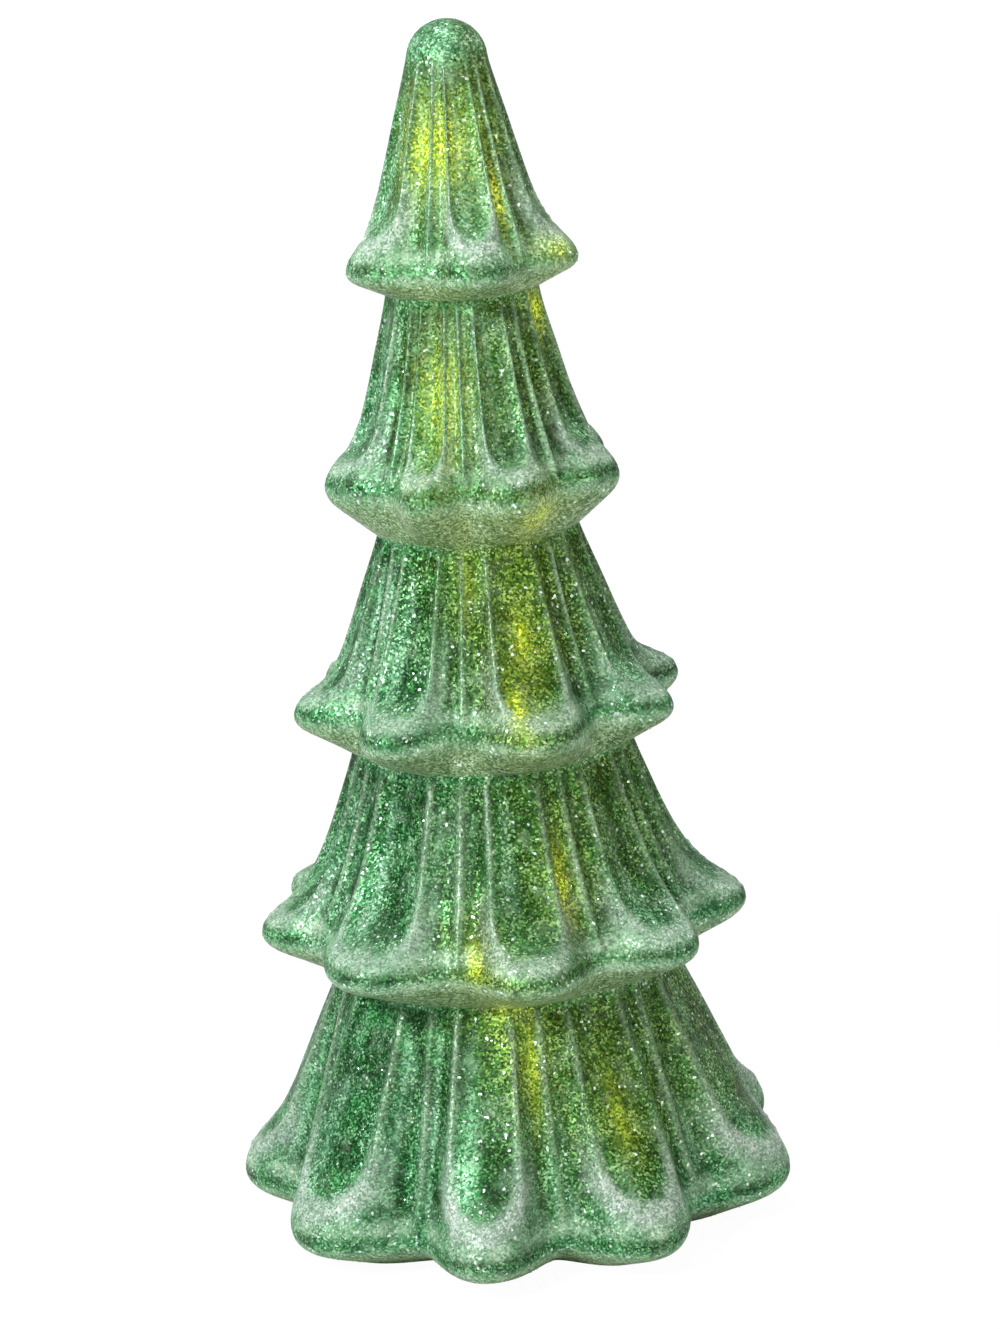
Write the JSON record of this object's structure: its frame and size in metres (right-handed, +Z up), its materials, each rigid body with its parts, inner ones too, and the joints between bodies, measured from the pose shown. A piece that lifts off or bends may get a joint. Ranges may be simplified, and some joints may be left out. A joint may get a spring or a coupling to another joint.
{
  "type": "light-up glass christmas tree",
  "caption": "Glitter-coated fluted glass tabletop christmas tree in lobed tiers, lit from inside by a string of small battery-powered lamps.",
  "frame": {"origin": "on the tree's axis, in the plane of the table that its foot pads stand on", "axes": "+Z up along the tree's axis to its tip, front towards -Y, battery switch towards +X"},
  "size_m": [0.1391, 0.1398, 0.3032],
  "materials": {
    "glitter_glass": "glitter coated, satin",
    "dark_plastic": "fine texture",
    "silicone": "translucent satin",
    "screw_steel": "zinc plated",
    "cell_wrap": "shrink wrap",
    "nickel": "nickel plated",
    "board_green": "solder mask",
    "chip_black": "moulded",
    "lead_red": "insulation",
    "lead_black": "insulation",
    "copper_wire": "lacquered copper",
    "lamp_clear": "clear resin drop, warm light"
  },
  "bodies": {
    "tree": {"glass_tree": "glitter_glass", "base_housing": "dark_plastic", "adhesive_ring": "silicone", "foot_pad_1": "silicone", "foot_pad_2": "silicone", "foot_pad_3": "silicone", "foot_pad_4": "silicone", "battery_cell_1": "cell_wrap", "battery_cell_2": "cell_wrap", "battery_cell_3": "cell_wrap", "contact_positive": "nickel", "contact_negative": "nickel", "contact_bridge_front": "nickel", "contact_bridge_back": "nickel", "timer_board": "board_green", "board_screw_1": "screw_steel", "board_screw_2": "screw_steel", "switch_body": "chip_black", "timer_chip": "chip_black", "crystal_can": "nickel", "battery_lead_red": "lead_red", "battery_lead_black": "lead_black", "light_string_wire": "copper_wire", "led_01": "lamp_clear", "led_02": "lamp_clear", "led_03": "lamp_clear", "led_04": "lamp_clear", "led_05": "lamp_clear", "led_06": "lamp_clear", "led_07": "lamp_clear", "led_08": "lamp_clear", "led_09": "lamp_clear", "led_10": "lamp_clear", "led_11": "lamp_clear", "led_12": "lamp_clear", "led_13": "lamp_clear", "led_14": "lamp_clear", "led_15": "lamp_clear", "led_16": "lamp_clear", "led_17": "lamp_clear", "led_18": "lamp_clear", "led_19": "lamp_clear", "led_20": "lamp_clear"},
    "door": {"battery_door": "dark_plastic"},
    "door_screw": {"door_screw": "screw_steel"},
    "switch_knob": {"switch_knob": "chip_black"}
  },
  "joints": [
    {"name": "door_tilt", "type": "hinge", "parent": "tree", "child": "door", "pos_m": [0, -0.0278, 0.0012], "axis": [-1, 0, 0], "range_deg": [0, 40]},
    {"name": "door_screw_turn", "type": "hinge", "parent": "door", "child": "door_screw", "pos_m": [0, 0.0313, 0.0012], "axis": [0, 0, -1], "range_deg": [-1080, 0]},
    {"name": "switch_slide", "type": "slide", "parent": "tree", "child": "switch_knob", "axis": [0, 1, 0], "range_m": [-0.004, 0]}
  ]
}
